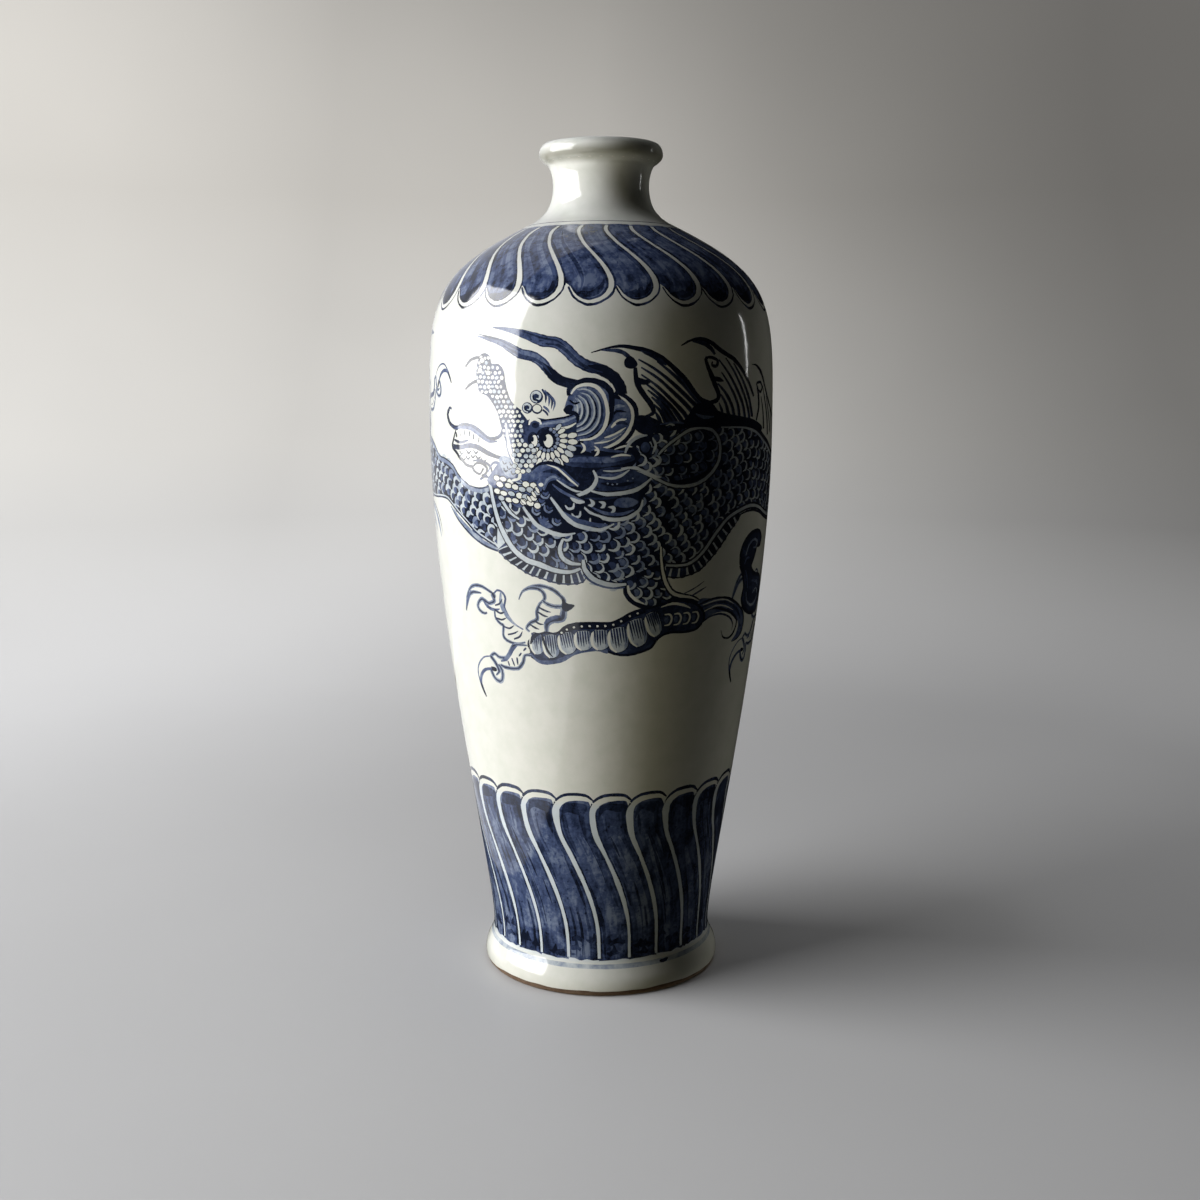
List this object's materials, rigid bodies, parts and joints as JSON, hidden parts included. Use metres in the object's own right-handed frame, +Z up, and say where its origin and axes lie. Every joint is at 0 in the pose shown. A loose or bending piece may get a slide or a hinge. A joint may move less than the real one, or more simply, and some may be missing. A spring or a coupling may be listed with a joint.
{
  "type": "porcelain jar",
  "caption": "Tall porcelain jar with a narrow neck, rolled lip, high round shoulder and flared foot, painted in blue with a dragon between petal borders; holds cut stems.",
  "frame": {"origin": "on the table under the jar's axis, in the plane of the standing rim", "axes": "+Z up along the jar's axis, -Y towards the pictured side"},
  "size_m": [0.1656, 0.1656, 0.4],
  "materials": {
    "painted_glaze": "glossy clear glaze over blue painting",
    "plain_glaze": "glossy clear glaze",
    "body_clay": "fired, matt",
    "foot_clay": "bare fired rim, matt",
    "slip": "fired slip, matt"
  },
  "bodies": {
    "root": {"foot_ring": "foot_clay", "base_floor": "body_clay", "lower_body": "body_clay", "belly": "body_clay", "shoulder": "body_clay", "neck": "body_clay", "slip_floor": "slip", "slip_foot": "slip", "slip_lower": "slip", "slip_belly": "slip", "slip_neck": "slip", "outer_glaze": "painted_glaze", "inner_glaze": "plain_glaze"}
  },
  "joints": []
}
